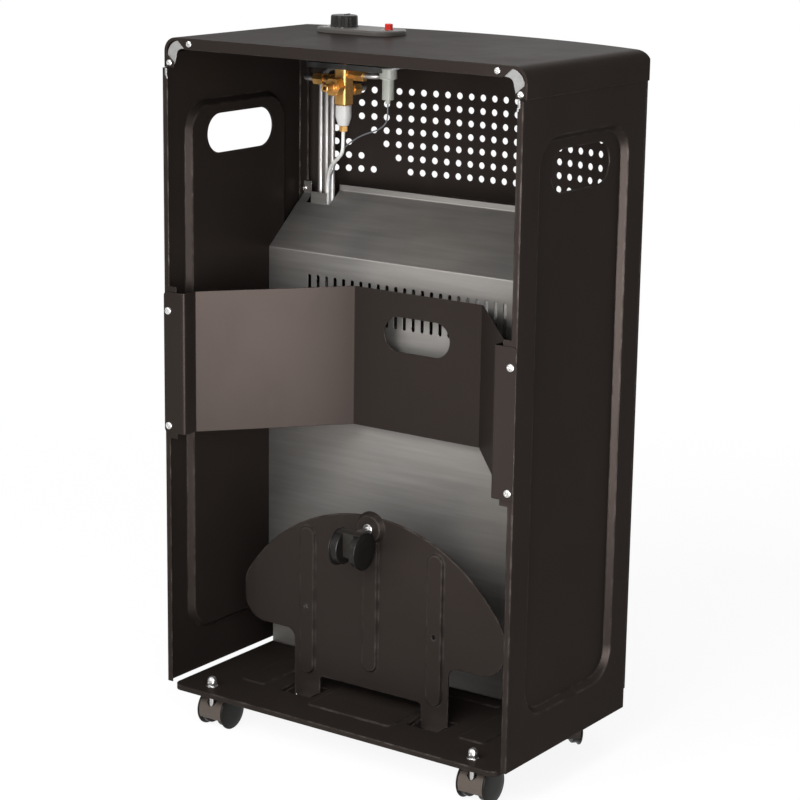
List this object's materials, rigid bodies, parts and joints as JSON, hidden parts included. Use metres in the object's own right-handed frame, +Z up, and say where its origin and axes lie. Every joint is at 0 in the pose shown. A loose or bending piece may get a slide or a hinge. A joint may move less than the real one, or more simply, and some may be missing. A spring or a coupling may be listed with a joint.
{
  "type": "gas cabinet heater",
  "caption": "Portable gas cabinet heater on castors: dark sheet-metal cabinet with an open back, bowed front, bottle strap and fold-down bottle platform.",
  "frame": {"origin": "middle of the overall box, on the floor under the castors", "axes": "+Z up; the bowed radiant front faces -Y and the open back faces +Y; +X is on the left of someone who looks into the open back"},
  "size_m": [0.42, 0.283, 0.7309],
  "materials": {
    "casing_paint": "satin",
    "zinc": "satin",
    "shield_steel": "satin",
    "polished_steel": "gloss",
    "guard_chrome": "gloss",
    "stem_chrome": "gloss",
    "castor_plastic": "matte",
    "castor_wheel": "matte",
    "control_plastic": "matte",
    "button_plastic": "gloss",
    "spindle_steel": "satin",
    "brass": "satin",
    "white_plastic": "matte",
    "igniter_plastic": "matte",
    "tube_aluminium": "satin",
    "white_lead": "matte",
    "grey_lead": "matte",
    "burner_steel": "satin",
    "plaque_ceramic": "matte",
    "probe_steel": "satin",
    "electrode_ceramic": "gloss"
  },
  "bodies": {
    "cabinet": {"side_panel_right": "casing_paint", "side_panel_left": "casing_paint", "top_cover": "casing_paint", "front_vent_panel": "casing_paint", "front_panel": "casing_paint", "base_plate": "casing_paint", "bottle_strap": "casing_paint", "hinge_lugs": "casing_paint", "corner_gussets": "zinc", "valve_bracket": "zinc", "cover_screws": "zinc", "shield_screws": "zinc", "strap_screws": "zinc", "pilot_bracket": "zinc", "burner_brackets": "zinc", "hinge_pins": "zinc", "heat_shield": "shield_steel", "reflector": "polished_steel", "front_guard": "guard_chrome", "guard_bows": "guard_chrome", "guard_uprights": "guard_chrome", "castor_stems": "stem_chrome", "dome_nuts": "stem_chrome", "control_bezel": "control_plastic", "gas_valve_body": "brass", "tube_nuts": "brass", "gas_inlet": "brass", "thermocouple_nut": "brass", "injector_block": "brass", "pilot_burner": "brass", "magnet_unit": "white_plastic", "piezo_igniter": "igniter_plastic", "gas_tube_right": "tube_aluminium", "gas_tube_left": "tube_aluminium", "gas_tube_front": "tube_aluminium", "pilot_tube": "tube_aluminium", "thermocouple_lead": "white_lead", "ignition_wire": "grey_lead", "burner_housing": "burner_steel", "ceramic_plaque_left": "plaque_ceramic", "ceramic_plaque_middle": "plaque_ceramic", "ceramic_plaque_right": "plaque_ceramic", "thermocouple_probe": "probe_steel", "ignition_electrode": "electrode_ceramic"},
    "platform": {"bottle_platform": "casing_paint", "platform_stem": "stem_chrome", "platform_nut": "stem_chrome"},
    "platform_castor": {"castor_hood_platform": "castor_plastic"},
    "platform_wheels": {"castor_wheels_platform": "castor_wheel"},
    "spindle": {"valve_spindle": "spindle_steel"},
    "knob": {"control_knob": "control_plastic"},
    "button": {"igniter_button": "button_plastic"},
    "castor_rear_right": {"castor_hood_rear_right": "castor_plastic"},
    "wheels_rear_right": {"castor_wheels_rear_right": "castor_wheel"},
    "castor_rear_left": {"castor_hood_rear_left": "castor_plastic"},
    "wheels_rear_left": {"castor_wheels_rear_left": "castor_wheel"},
    "castor_front_right": {"castor_hood_front_right": "castor_plastic"},
    "wheels_front_right": {"castor_wheels_front_right": "castor_wheel"},
    "castor_front_left": {"castor_hood_front_left": "castor_plastic"},
    "wheels_front_left": {"castor_wheels_front_left": "castor_wheel"}
  },
  "joints": [
    {"name": "platform_fold", "type": "hinge", "parent": "cabinet", "child": "platform", "pos_m": [0, 0.08051, 0.0405], "axis": [-1, 0, 0], "range_deg": [0, 90]},
    {"name": "platform_castor_swivel", "type": "hinge", "parent": "platform", "child": "platform_castor", "pos_m": [0, 0.07431, 0.2355], "axis": [0, -1, 0], "continuous": true},
    {"name": "platform_wheel_spin", "type": "hinge", "parent": "platform_castor", "child": "platform_wheels", "pos_m": [0, 0.10161, 0.2215], "axis": [1, 0, 0], "continuous": true},
    {"name": "castor_rear_right_swivel", "type": "hinge", "parent": "cabinet", "child": "castor_rear_right", "pos_m": [0.162, 0.12301, 0.0463], "axis": [0, 0, 1], "continuous": true},
    {"name": "wheels_rear_right_spin", "type": "hinge", "parent": "castor_rear_right", "child": "wheels_rear_right", "pos_m": [0.162, 0.10901, 0.019], "axis": [1, 0, 0], "continuous": true},
    {"name": "castor_rear_left_swivel", "type": "hinge", "parent": "cabinet", "child": "castor_rear_left", "pos_m": [-0.162, 0.12301, 0.0463], "axis": [0, 0, 1], "continuous": true},
    {"name": "wheels_rear_left_spin", "type": "hinge", "parent": "castor_rear_left", "child": "wheels_rear_left", "pos_m": [-0.162, 0.10901, 0.019], "axis": [1, 0, 0], "continuous": true},
    {"name": "castor_front_right_swivel", "type": "hinge", "parent": "cabinet", "child": "castor_front_right", "pos_m": [0.162, -0.05249, 0.0463], "axis": [0, 0, 1], "continuous": true},
    {"name": "wheels_front_right_spin", "type": "hinge", "parent": "castor_front_right", "child": "wheels_front_right", "pos_m": [0.162, -0.06649, 0.019], "axis": [1, 0, 0], "continuous": true},
    {"name": "castor_front_left_swivel", "type": "hinge", "parent": "cabinet", "child": "castor_front_left", "pos_m": [-0.162, -0.05249, 0.0463], "axis": [0, 0, 1], "continuous": true},
    {"name": "wheels_front_left_spin", "type": "hinge", "parent": "castor_front_left", "child": "wheels_front_left", "pos_m": [-0.15176, -0.06203, 0.019], "axis": [0.682, 0.7314, 0], "continuous": true},
    {"name": "valve_turn", "type": "hinge", "parent": "cabinet", "child": "spindle", "pos_m": [0.1175, -0.03749, 0.6875], "axis": [0, 0, 1], "range_deg": [0, 210]},
    {"name": "knob_press", "type": "slide", "parent": "spindle", "child": "knob", "axis": [0, 0, -1], "range_m": [0, 0.003], "stiffness_N_per_m": 800, "springref_m": -0.002},
    {"name": "button_press", "type": "slide", "parent": "cabinet", "child": "button", "axis": [0, 0, -1], "range_m": [0, 0.004], "stiffness_N_per_m": 900, "springref_m": -0.003}
  ]
}
